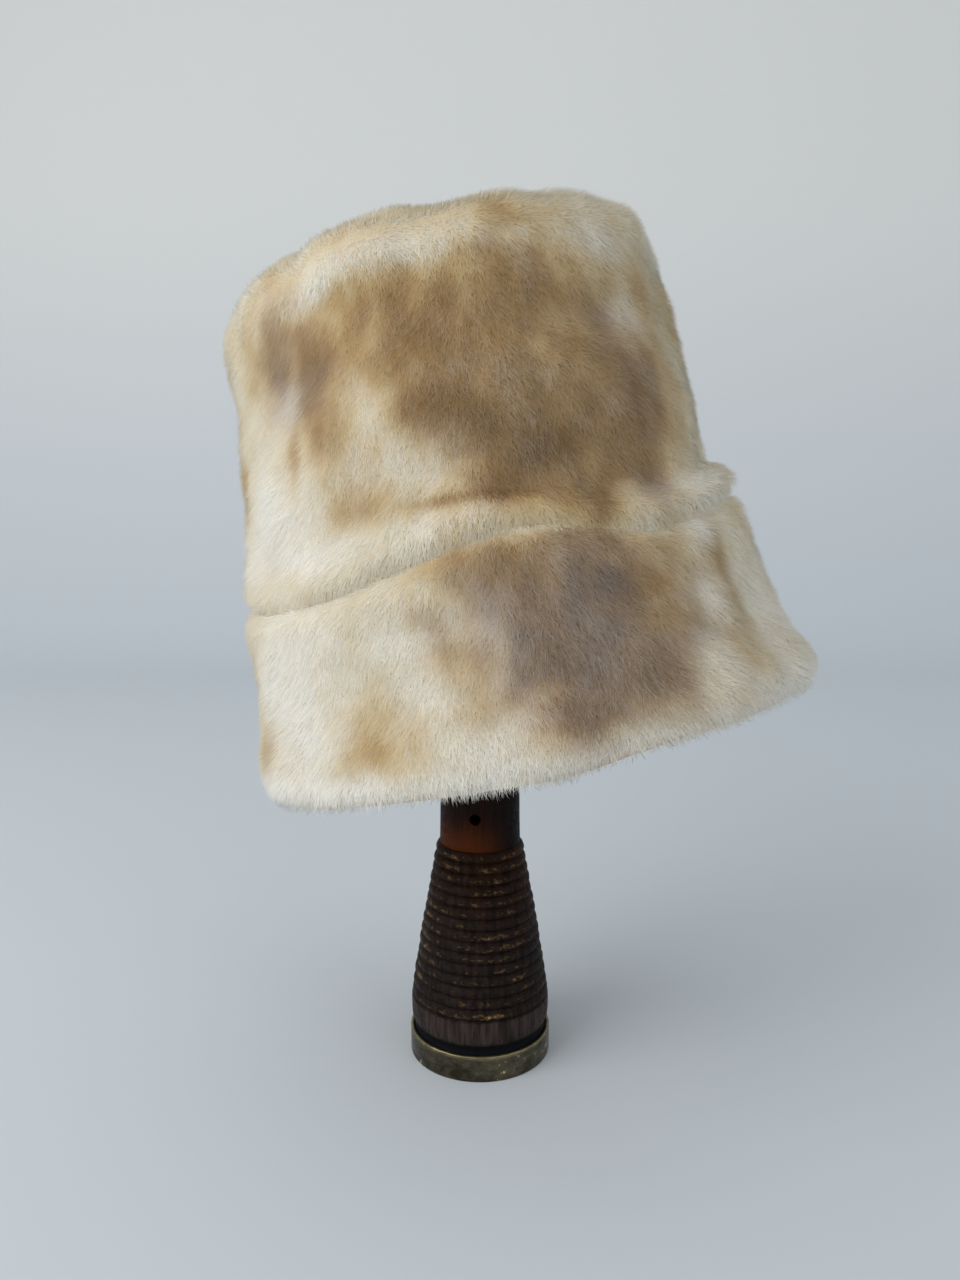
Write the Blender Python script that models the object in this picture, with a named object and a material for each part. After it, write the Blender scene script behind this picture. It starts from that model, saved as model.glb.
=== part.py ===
# Sheared sheepskin hat with a tall round crown and a short flared brim, resting on a turned wooden bobbin stand.
# Metres, +Z up, +X to the right and -Y to the front. The origin is the middle of the stand's underside.
import math
from collections import namedtuple

import bmesh
import bpy
from mathutils import Matrix, Vector

# Clearances
FIT_GAP = 0.0003
SEAM_GAP = 0.0003

# Stand
STAND_HEIGHT = 0.3645
FERRULE_RADIUS = 0.0342
FERRULE_HEIGHT = 0.0125
FERRULE_WALL = 0.0017
FERRULE_BEVEL = 0.0006
WAIST_DEPTH = 0.0016
WAIST_HEIGHT = 0.004
FOOT_RADIUS = 0.0336
FOOT_BAND_HEIGHT = 0.0124
RIBS_HEIGHT = 0.0765
RIBS_TOP_RADIUS = 0.0208
RIB_PITCH = 0.0051
RIB_DEPTH = 0.0011
RIBS_CURVE = 1.12
NECK_RADIUS = 0.0193
NECK_HOLE_RADIUS = 0.00265
NECK_HOLE_DEPTH = 0.012
NECK_HOLE_RISE = 0.0155
NECK_HOLE_SHIFT = -0.0023
BARREL_TOP_RADIUS = 0.0165
TIP_HEIGHT = 0.0066

# Hat
CROWN_RADIUS = 0.105
CROWN_HEIGHT = 0.132
SHOULDER_RADIUS = 0.026
TOP_DOME = 0.004
BRIM_HEIGHT = 0.090
BRIM_EDGE_DROP = 0.012
WALL = 0.014
SEAM_PINCH = 0.004
SEAM_PINCH_SPAN = 0.004
ROLL_CREST = 0.0105
ROLL_HEIGHT = 0.014
TILT_SIDE = math.radians(12.0)
TILT_BACK = math.radians(5.0)
TIP_CONTACT_X = 0.014
TIP_CONTACT_Y = -0.010

# Azimuths are degrees round the hat: 0 right, 90 back, 180 left, 270 front.
# A section gives the outer radius on four sides as shares of CROWN_RADIUS.
Section = namedtuple("Section", "level right back left front")
CROWN_SECTIONS = [  # level 0 is the seam and 1 the crown's top
    Section(0.00, 0.985, 1.02, 1.125, 1.05),
    Section(0.07, 0.980, 1.01, 1.100, 1.04),
    Section(0.17, 0.975, 1.00, 1.060, 1.02),
    Section(0.31, 0.975, 0.99, 1.035, 1.00),
    Section(0.46, 0.968, 0.97, 1.000, 0.98),
    Section(0.58, 0.962, 0.96, 0.975, 0.96),
    Section(0.80, 0.970, 0.94, 0.968, 0.94),
]
BRIM_SECTIONS = [  # level 0 is the seam, where the brim has the crown's outline, and 1 the lower edge
    Section(0.02, 1.080, 1.10, 1.130, 1.08),
    Section(0.13, 1.085, 1.10, 1.132, 1.09),
    Section(0.29, 1.098, 1.11, 1.127, 1.10),
    Section(0.44, 1.120, 1.13, 1.125, 1.12),
    Section(0.60, 1.155, 1.15, 1.140, 1.15),
    Section(0.74, 1.208, 1.17, 1.182, 1.18),
    Section(0.87, 1.262, 1.19, 1.197, 1.20),
]

# How far the seam and the lower edge stray from their planes, as shares of BRIM_HEIGHT.
Wave = namedtuple("Wave", "azimuth seam edge")
WAVES = [
    Wave(0.0, 0.030, 0.010),
    Wave(45.0, 0.030, 0.030),
    Wave(90.0, 0.020, 0.020),
    Wave(135.0, 0.000, 0.030),
    Wave(180.0, -0.045, 0.000),
    Wave(216.0, -0.110, -0.005),
    Wave(238.0, -0.100, 0.005),
    Wave(262.0, -0.015, 0.010),
    Wave(274.0, 0.022, 0.000),
    Wave(287.0, -0.020, 0.035),
    Wave(303.0, -0.095, 0.040),
    Wave(320.0, -0.070, 0.035),
    Wave(340.0, 0.000, 0.020),
]

# A dent's depth is a share of WALL and a minus depth is a swelling. Its span runs in degrees and level.
Dent = namedtuple("Dent", "azimuth level turn rise depth")
CROWN_DENTS = [
    Dent(225.0, 0.66, 15.0, 0.13, 0.36),
    Dent(241.0, 0.93, 6.0, 0.12, 0.24),
    Dent(256.0, 0.95, 7.0, 0.15, -0.12),
    Dent(276.0, 0.96, 5.0, 0.14, 0.24),
    Dent(326.0, 0.93, 24.0, 0.15, -0.26),
    Dent(298.0, 0.38, 24.0, 0.12, -0.18),
    Dent(262.0, 0.22, 22.0, 0.06, 0.20),
    Dent(316.0, 0.62, 12.0, 0.25, 0.22),
    Dent(208.0, 0.30, 9.0, 0.22, 0.20),
    Dent(150.0, 0.50, 24.0, 0.20, 0.24),
    Dent(110.0, 0.80, 20.0, 0.18, -0.20),
    Dent(70.0, 0.50, 24.0, 0.20, 0.24),
]
BRIM_DENTS = [
    Dent(329.0, 0.50, 7.0, 0.45, 0.48),
    Dent(344.0, 0.45, 8.0, 0.40, -0.20),
    Dent(298.0, 0.60, 20.0, 0.35, -0.20),
    Dent(240.0, 0.60, 12.0, 0.35, 0.24),
    Dent(214.0, 0.60, 12.0, 0.35, -0.16),
    Dent(125.0, 0.60, 14.0, 0.40, 0.30),
    Dent(92.0, 0.70, 16.0, 0.40, -0.24),
    Dent(55.0, 0.60, 14.0, 0.40, 0.30),
]
TOP_LUMPS = [  # level here is the share of the way out from the middle of the top
    Dent(0.0, 0.30, 60.0, 0.25, -0.18),
    Dent(215.0, 0.75, 40.0, 0.25, 0.26),
    Dent(100.0, 0.60, 50.0, 0.30, 0.22),
]

# Where the fold above the seam stands proud, as a share of ROLL_CREST.
Swell = namedtuple("Swell", "azimuth share")
ROLL_SWELLS = [
    Swell(0.0, 1.00),
    Swell(40.0, 0.85),
    Swell(90.0, 0.35),
    Swell(135.0, 0.10),
    Swell(180.0, 0.00),
    Swell(225.0, 0.02),
    Swell(255.0, 0.20),
    Swell(285.0, 0.42),
    Swell(310.0, 0.55),
    Swell(335.0, 0.90),
]
ROLL_MIDDLE = 0.34  # share of ROLL_HEIGHT
ROLL_REACH = 0.58  # share of ROLL_HEIGHT

# Rows of faces
STAND_SIDES = 36
HOLE_SIDES = 12
RIB_PROFILE = [(0.12, 1.0), (0.38, 0.1), (0.72, 0.0)]  # shares of the pitch and of RIB_DEPTH
TIP_ROWS = 7
HAT_SIDES = 60
CROWN_LEVELS = [0.0, 0.012, 0.03, 0.055, 0.085, 0.12, 0.165, 0.23, 0.33, 0.45, 0.57, 0.69]
BRIM_LEVELS = [0.025, 0.06, 0.11, 0.19, 0.30, 0.42, 0.54, 0.66, 0.77]
INNER_LEVELS = [0.15, 0.40, 0.65]
INNER_DENT_SHARE = 0.5
EDGE_ROWS = 6
SHOULDER_STEP = math.radians(15.0)
SHOULDER_PARTING = math.radians(45.0)
TOP_OUTER_SHARES = [1.0, 0.82, 0.62, 0.42, 0.22]
TOP_INNER_SHARES = [0.5, 1.0]
SMOOTH_ANGLE = math.radians(50.0)


def clear_scene():
    for obj in list(bpy.data.objects):
        bpy.data.objects.remove(obj, do_unlink=True)


def material(name, color, roughness, metallic=0.0):
    made = bpy.data.materials.new(name)
    made.use_nodes = True
    shader = made.node_tree.nodes["Principled BSDF"]
    shader.inputs["Base Color"].default_value = (*color, 1.0)
    shader.inputs["Roughness"].default_value = roughness
    shader.inputs["Metallic"].default_value = metallic
    return made


def add_object(name, bm, finish, parent=None):
    """A bmesh as an object, its faces turned outwards and shaded smooth."""
    bmesh.ops.recalc_face_normals(bm, faces=bm.faces)
    mesh = bpy.data.meshes.new(name)
    bm.to_mesh(mesh)
    bm.free()
    mesh.shade_smooth()
    mesh.set_sharp_from_angle(angle=SMOOTH_ANGLE)
    mesh.materials.append(finish)
    obj = bpy.data.objects.new(name, mesh)
    obj.parent = parent
    bpy.context.scene.collection.objects.link(obj)
    return obj


def join_loops(bm, first, second):
    count = len(first)
    for i in range(count):
        j = (i + 1) % count
        bm.faces.new((first[i], first[j], second[j], second[i]))


def ring_wall(loops):
    """A closed wall round a hollow: each loop joins the next, and the last joins the first."""
    bm = bmesh.new()
    rows = [[bm.verts.new(point) for point in loop] for loop in loops]
    for first, second in zip(rows, rows[1:] + rows[:1]):
        join_loops(bm, first, second)
    return bm


def capped_stack(loops, first_pole, last_pole):
    """A closed body: each loop joins the next, and a pole closes each end."""
    bm = bmesh.new()
    rows = [[bm.verts.new(point) for point in loop] for loop in loops]
    for first, second in zip(rows, rows[1:]):
        join_loops(bm, first, second)
    for row, pole in ((rows[0], first_pole), (rows[-1], last_pole)):
        tip = bm.verts.new(pole)
        for i in range(len(row)):
            bm.faces.new((row[i], row[(i + 1) % len(row)], tip))
    return bm


def turned(profile):
    """A loop of points round the stand's axis for each radius and height of a profile."""
    turns = [2.0 * math.pi * i / STAND_SIDES for i in range(STAND_SIDES)]
    return [[Vector((r * math.cos(a), r * math.sin(a), height)) for a in turns] for r, height in profile]


def blend(low, high, share):
    return low + (high - low) * share


# Stand


def waist_bottom():
    return FERRULE_HEIGHT + FIT_GAP


def ribs_bottom():
    return waist_bottom() + WAIST_HEIGHT + FOOT_BAND_HEIGHT


def ribs_top():
    return ribs_bottom() + RIBS_HEIGHT


def tip_sphere_radius():
    return (BARREL_TOP_RADIUS**2 + TIP_HEIGHT**2) / (2.0 * TIP_HEIGHT)


def rib_rows():
    """Radius and height of each groove and crest up the ribbed foot."""
    count = max(1, round(RIBS_HEIGHT / RIB_PITCH))
    rows = []
    for i in range(count):
        for part, drop in RIB_PROFILE:
            share = (i + part) / count
            radius = blend(FOOT_RADIUS, RIBS_TOP_RADIUS, share**RIBS_CURVE)
            rows.append((radius - RIB_DEPTH * drop, ribs_bottom() + RIBS_HEIGHT * share))
    return rows


def tip_rows():
    """Radius and height up the round top, from the barrel's edge towards the pole."""
    radius = tip_sphere_radius()
    middle = STAND_HEIGHT - radius
    edge = math.asin(BARREL_TOP_RADIUS / radius)
    angles = [edge * (1.0 - i / TIP_ROWS) for i in range(TIP_ROWS)]
    return [(radius * math.sin(a), middle + radius * math.cos(a)) for a in angles]


def make_barrel(finish):
    plug = FERRULE_RADIUS - FERRULE_WALL - FIT_GAP
    waist = FOOT_RADIUS - WAIST_DEPTH
    profile = [
        (plug, 0.0),
        (plug, waist_bottom()),
        (min(plug, waist), waist_bottom() + FIT_GAP),
        (waist, waist_bottom() + WAIST_HEIGHT),
        (FOOT_RADIUS, waist_bottom() + WAIST_HEIGHT + WAIST_DEPTH / 2),
        *rib_rows(),
        (RIBS_TOP_RADIUS, ribs_top()),
        (NECK_RADIUS, ribs_top() + FIT_GAP),
        *tip_rows(),
    ]
    bm = capped_stack(turned(profile), Vector((0.0, 0.0, 0.0)), Vector((0.0, 0.0, STAND_HEIGHT)))
    barrel = add_object("stand_barrel", bm, finish)
    drill_neck(barrel)


def drill_neck(barrel):
    """The blind pin hole in the front of the neck."""
    bm = bmesh.new()
    bmesh.ops.create_cone(
        bm,
        cap_ends=True,
        segments=HOLE_SIDES,
        radius1=NECK_HOLE_RADIUS,
        radius2=NECK_HOLE_RADIUS,
        depth=NECK_HOLE_DEPTH * 2,
    )
    cutter = add_object("neck_hole_cutter", bm, barrel.data.materials[0])
    cutter.rotation_euler = (math.radians(90.0), 0.0, 0.0)
    cutter.location = (NECK_HOLE_SHIFT, -NECK_RADIUS, ribs_top() + NECK_HOLE_RISE)
    cutter.hide_render = True
    cutter.display_type = "WIRE"
    drilled = barrel.modifiers.new("neck_hole", "BOOLEAN")
    drilled.operation = "DIFFERENCE"
    drilled.object = cutter


def make_ferrule(finish):
    inner = FERRULE_RADIUS - FERRULE_WALL
    profile = [
        (inner, 0.0),
        (FERRULE_RADIUS - FERRULE_BEVEL, 0.0),
        (FERRULE_RADIUS, FERRULE_BEVEL),
        (FERRULE_RADIUS, FERRULE_HEIGHT - FERRULE_BEVEL),
        (FERRULE_RADIUS - FERRULE_BEVEL, FERRULE_HEIGHT),
        (inner, FERRULE_HEIGHT),
    ]
    add_object("stand_ferrule", ring_wall(turned(profile)), finish)


# Hat tables


def curve(places, values, place):
    """A smooth curve through the middle two of four points, at a place between them."""
    span = places[2] - places[1]
    share = (place - places[1]) / span
    slope_in = span * (values[2] - values[0]) / (places[2] - places[0])
    slope_out = span * (values[3] - values[1]) / (places[3] - places[1])
    ease = share**2 * (3.0 - 2.0 * share)
    bend = slope_in * share * (1.0 - share) ** 2 - slope_out * share**2 * (1.0 - share)
    return blend(values[1], values[2], ease) + bend


def section_at(sections, level):
    """The radii to the right, back, left and front at a level, in metres."""
    level = min(max(level, sections[0].level), sections[-1].level)
    place = next(i for i in range(1, len(sections)) if level <= sections[i].level)
    rows = [sections[min(max(i, 0), len(sections) - 1)] for i in range(place - 2, place + 2)]
    places = [row.level for row in rows]
    sides = ("right", "back", "left", "front")
    return [CROWN_RADIUS * curve(places, [getattr(row, side) for row in rows], level) for side in sides]


def round_table(table, azimuth, column):
    """A table's column at an azimuth, on a smooth curve that closes on itself."""
    count = len(table)
    azimuth = azimuth % 360.0
    place = max(i for i in range(count) if table[i].azimuth <= azimuth)
    places = []
    values = []
    for i in range(place - 1, place + 3):
        places.append(table[i % count].azimuth + 360.0 * (i // count))
        values.append(getattr(table[i % count], column))
    return curve(places, values, azimuth)


def azimuths():
    return [360.0 * i / HAT_SIDES for i in range(HAT_SIDES)]


def around(sides, azimuth, inset):
    """The point at an azimuth of a rounded outline with its own radius on each of four sides."""
    right, back, left, front = sides
    turn = math.radians(azimuth)
    across = right if math.cos(turn) > 0.0 else left
    along = back if math.sin(turn) > 0.0 else front
    return ((across - inset) * math.cos(turn), (along - inset) * math.sin(turn))


def dents_at(dents, azimuth, level):
    """The summed depth of the dents at a place, in metres."""
    total = 0.0
    for dent in dents:
        turn = (azimuth - dent.azimuth + 180.0) % 360.0 - 180.0
        fall = (turn / dent.turn) ** 2 + ((level - dent.level) / dent.rise) ** 2
        total += dent.depth * WALL * math.exp(-fall)
    return total


def seam_height(azimuth):
    return BRIM_HEIGHT * round_table(WAVES, azimuth, "seam")


def edge_height(azimuth):
    return BRIM_HEIGHT * (round_table(WAVES, azimuth, "edge") - 1.0)


def roll_at(azimuth, climb):
    """How far the fold above the seam stands out, at a height above the seam."""
    crest = ROLL_CREST * round_table(ROLL_SWELLS, azimuth, "share")
    return crest * math.exp(-(((climb / ROLL_HEIGHT - ROLL_MIDDLE) / ROLL_REACH) ** 4))


def pinch_at(reach):
    """How far the pile is drawn in, at a distance from the seam."""
    return SEAM_PINCH * math.exp(-((reach / SEAM_PINCH_SPAN) ** 2))


# Crown


def shoulder_level():
    return 1.0 - SHOULDER_RADIUS / CROWN_HEIGHT


def crown_height_at(azimuth, level):
    low = seam_height(azimuth) + SEAM_GAP / 2
    return blend(low, CROWN_HEIGHT - SHOULDER_RADIUS, level / shoulder_level())


def crown_outer_loop(level):
    loop = []
    for azimuth in azimuths():
        height = crown_height_at(azimuth, level)
        climb = height - seam_height(azimuth)
        inset = dents_at(CROWN_DENTS, azimuth, level) - roll_at(azimuth, climb) + pinch_at(climb)
        loop.append(Vector((*around(section_at(CROWN_SECTIONS, level), azimuth, inset), height)))
    return loop


def crown_inner_loop(level):
    sides = section_at(CROWN_SECTIONS, level)
    return [Vector((*around(sides, a, WALL), crown_height_at(a, level))) for a in azimuths()]


def shoulder_loop(angle, radii, shift):
    """A loop round the shoulder at an angle up from its start, with its own radius at each azimuth."""
    sides = section_at(CROWN_SECTIONS, shoulder_level())
    loop = []
    for azimuth, radius in zip(azimuths(), radii):
        inset = SHOULDER_RADIUS - radius * math.cos(angle) + shift * math.sin(angle)
        rise = radius * math.sin(angle) + shift * math.cos(angle)
        height = CROWN_HEIGHT - SHOULDER_RADIUS + rise
        loop.append(Vector((*around(sides, azimuth, inset), height)))
    return loop


def shoulder_outer_loop(angle, shift=0.0):
    level = blend(shoulder_level(), 1.0, math.sin(angle))
    radii = [SHOULDER_RADIUS - dents_at(CROWN_DENTS, azimuth, level) for azimuth in azimuths()]
    return shoulder_loop(angle, radii, shift)


def shoulder_inner_loop(angle, shift=0.0):
    return shoulder_loop(angle, [SHOULDER_RADIUS - WALL] * HAT_SIDES, shift)


def make_crown_side(finish, parent):
    arcs = [SHOULDER_STEP * i for i in range(round(SHOULDER_PARTING / SHOULDER_STEP))]
    parting = -SEAM_GAP / 2
    outer = [crown_outer_loop(level) for level in CROWN_LEVELS]
    outer += [shoulder_outer_loop(angle) for angle in arcs]
    outer.append(shoulder_outer_loop(SHOULDER_PARTING, parting))
    inner = [shoulder_inner_loop(SHOULDER_PARTING, parting)]
    inner += [shoulder_inner_loop(angle) for angle in reversed(arcs)]
    inner += [crown_inner_loop(level) for level in reversed(INNER_LEVELS)]
    inner.append(crown_inner_loop(0.0))
    add_object("crown_side", ring_wall(outer + inner), finish, parent)


def top_radii():
    """The radii of the top's flat, inside the shoulder."""
    return [radius - SHOULDER_RADIUS for radius in section_at(CROWN_SECTIONS, shoulder_level())]


def top_outer_loop(share):
    """A loop on the top's outer surface, its size a share of the flat's."""
    rim = share**4  # how much of the rim's dents and how little of the top's lumps show here
    loop = []
    for azimuth in azimuths():
        dent = dents_at(CROWN_DENTS, azimuth, 1.0) * rim
        lump = dents_at(TOP_LUMPS, azimuth, share) * (1.0 - rim)
        height = CROWN_HEIGHT + TOP_DOME * (1.0 - share**2) - dent - lump
        loop.append(Vector((*around([radius * share for radius in top_radii()], azimuth, 0.0), height)))
    return loop


def top_inner_loop(share):
    sides = [radius * share for radius in top_radii()]
    return [Vector((*around(sides, azimuth, 0.0), CROWN_HEIGHT - WALL)) for azimuth in azimuths()]


def make_crown_top(finish, parent):
    steps = round((math.pi / 2 - SHOULDER_PARTING) / SHOULDER_STEP)
    arcs = [SHOULDER_PARTING + SHOULDER_STEP * i for i in range(1, steps)]
    parting = SEAM_GAP / 2
    inner = [top_inner_loop(share) for share in TOP_INNER_SHARES]
    inner += [shoulder_inner_loop(angle) for angle in reversed(arcs)]
    inner.append(shoulder_inner_loop(SHOULDER_PARTING, parting))
    outer = [shoulder_outer_loop(SHOULDER_PARTING, parting)]
    outer += [shoulder_outer_loop(angle) for angle in arcs]
    outer += [top_outer_loop(share) for share in TOP_OUTER_SHARES]
    middle_lump = sum(dents_at(TOP_LUMPS, azimuth, 0.0) for azimuth in azimuths()) / HAT_SIDES
    under_pole = Vector((0.0, 0.0, CROWN_HEIGHT - WALL))
    top_pole = Vector((0.0, 0.0, CROWN_HEIGHT + TOP_DOME - middle_lump))
    add_object("crown_top", capped_stack(inner + outer, under_pole, top_pole), finish, parent)


# Brim


def lowered(loop):
    """A loop on the crown's side of the seam, moved to the brim's side."""
    return [point - Vector((0.0, 0.0, SEAM_GAP)) for point in loop]


def edge_level():
    return 1.0 - BRIM_EDGE_DROP / BRIM_HEIGHT


def brim_height_at(azimuth, level):
    top = seam_height(azimuth) - SEAM_GAP / 2
    return blend(top, edge_height(azimuth) + BRIM_EDGE_DROP, level / edge_level())


def brim_outer_loop(level):
    loop = []
    for azimuth in azimuths():
        height = brim_height_at(azimuth, level)
        inset = dents_at(BRIM_DENTS, azimuth, level) + pinch_at(seam_height(azimuth) - height)
        loop.append(Vector((*around(section_at(BRIM_SECTIONS, level), azimuth, inset), height)))
    return loop


def brim_inner_loop(level):
    loop = []
    for azimuth in azimuths():
        inset = WALL + INNER_DENT_SHARE * dents_at(BRIM_DENTS, azimuth, level)
        height = brim_height_at(azimuth, level)
        loop.append(Vector((*around(section_at(BRIM_SECTIONS, level), azimuth, inset), height)))
    return loop


def brim_edge_loop(angle):
    """A loop round the rounded lower edge, from its outer side at angle 0 to its inner side at a half turn."""
    inwards = (1.0 - math.cos(angle)) / 2
    dent_share = blend(1.0, INNER_DENT_SHARE, inwards)
    loop = []
    for azimuth in azimuths():
        inset = WALL * inwards + dents_at(BRIM_DENTS, azimuth, edge_level()) * dent_share
        height = brim_height_at(azimuth, edge_level()) - BRIM_EDGE_DROP * math.sin(angle)
        loop.append(Vector((*around(section_at(BRIM_SECTIONS, edge_level()), azimuth, inset), height)))
    return loop


def make_brim(finish, parent):
    outer = [lowered(crown_outer_loop(0.0))]
    outer += [brim_outer_loop(level) for level in BRIM_LEVELS]
    edge = [brim_edge_loop(math.pi * i / EDGE_ROWS) for i in range(EDGE_ROWS + 1)]
    inner = [brim_inner_loop(level) for level in reversed(INNER_LEVELS)]
    inner.append(lowered(crown_inner_loop(0.0)))
    add_object("brim", ring_wall(outer + edge + inner), finish, parent)


# Whole hat


def hat_placement():
    """Sets the flat inside of the crown's top on the stand's round tip, leaning to the left and the back."""
    lean = Matrix.Rotation(-TILT_SIDE, 4, "Y") @ Matrix.Rotation(-TILT_BACK, 4, "X")
    tip_middle = Vector((0.0, 0.0, STAND_HEIGHT - tip_sphere_radius()))
    above_tip = Vector((0.0, 0.0, tip_sphere_radius() + FIT_GAP))
    contact = Vector((TIP_CONTACT_X, TIP_CONTACT_Y, CROWN_HEIGHT - WALL))
    return Matrix.Translation(tip_middle + lean @ (above_tip - contact)) @ lean


def make_hat(finish):
    hat = bpy.data.objects.new("hat", None)
    hat.matrix_world = hat_placement()
    bpy.context.scene.collection.objects.link(hat)
    make_crown_top(finish, hat)
    make_crown_side(finish, hat)
    make_brim(finish, hat)


def main():
    clear_scene()
    fleece = material("sheared_fleece", (0.62, 0.52, 0.38), 0.95)
    wood = material("dark_stained_wood", (0.045, 0.018, 0.010), 0.45)
    brass = material("aged_brass", (0.36, 0.29, 0.18), 0.42, 0.9)
    make_barrel(wood)
    make_ferrule(brass)
    make_hat(fleece)
    bpy.context.view_layer.update()


main()
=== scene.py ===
# Sheared sheepskin bucket hat on a turned wooden bobbin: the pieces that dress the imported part.
# Metres, +Z up, +X to the right and -Y to the front. The origin is the middle of the stand's underside.
import math
import re
from collections import namedtuple

import bmesh
import bpy
import numpy as np
from mathutils import Matrix, Vector, noise


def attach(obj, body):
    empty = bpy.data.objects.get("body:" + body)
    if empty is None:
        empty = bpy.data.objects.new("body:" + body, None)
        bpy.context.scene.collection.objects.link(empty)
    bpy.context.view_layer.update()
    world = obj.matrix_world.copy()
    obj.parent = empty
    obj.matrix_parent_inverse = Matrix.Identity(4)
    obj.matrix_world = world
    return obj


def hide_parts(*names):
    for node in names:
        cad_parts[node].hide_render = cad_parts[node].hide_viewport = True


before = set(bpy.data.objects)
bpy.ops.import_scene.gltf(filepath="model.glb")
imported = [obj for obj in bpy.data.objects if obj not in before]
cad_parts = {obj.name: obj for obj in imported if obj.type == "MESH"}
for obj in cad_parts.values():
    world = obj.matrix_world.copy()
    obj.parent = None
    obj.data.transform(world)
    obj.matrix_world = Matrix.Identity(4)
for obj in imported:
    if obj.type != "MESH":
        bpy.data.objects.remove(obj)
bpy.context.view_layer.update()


# Hat: where it sits
hat = {
    "sideLean": 12.0,  # degrees to the left
    "backLean": 5.0,  # degrees to the back
    "seamMiddle": (0.0059, 0.0018, 0.2454),
    "shoulderHeight": 0.106,  # above the seam, where the crown starts to round over
    "flatRadius": 0.079,  # of the crown's top inside its rounding
    "girth": 0.105,  # radius used to turn degrees into millimetres
}
hatPlace = (
    Matrix.Translation(hat["seamMiddle"])
    @ Matrix.Rotation(-math.radians(hat["sideLean"]), 4, "Y")
    @ Matrix.Rotation(-math.radians(hat["backLean"]), 4, "X")
)

# Hat: the skin under the pile
skin = {
    "pileRoom": 0.0040,  # how far the skin lies under the hat's full size
    "subdivisions": 2,
    "creaseAngle": 55.0,
    "softLump": 0.0011,
    "softLumpSize": 0.022,
    "smallLump": 0.0004,
    "smallLumpSize": 0.008,
    "wallFacing": (0.1, 0.35),  # from bare to covered, by how squarely a wall faces outwards
    "cutEdge": (0.0155, 0.0165),  # the rim's cut edge is covered from here out
    "hemTurn": (-0.03, -0.06),  # heights over which the way out follows the brim's rolled edge
    "hemCover": (-0.055, -0.07),
    "rimTrim": (0.28, 0.100, 0.122),  # how much shorter the pile is at the rim, from and to which height
    "hemTrim": (0.25, -0.074, -0.086),
    "combOut": 0.4,  # how far the pile of a wall leans outwards as it hangs
    "combAround": 0.7,  # how far that of the top turns round it
    # Azimuth, height in millimetres, half width in degrees, half height, metres outwards. Close ones add up.
    "swells": [
        (247, 119, 11, 13, 0.0035),
        (240, 118, 6, 11, 0.0030),
        (278, 122, 9, 10, 0.0045),
        (338, 106, 17, 20, -0.0042),
    ],
}

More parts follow.
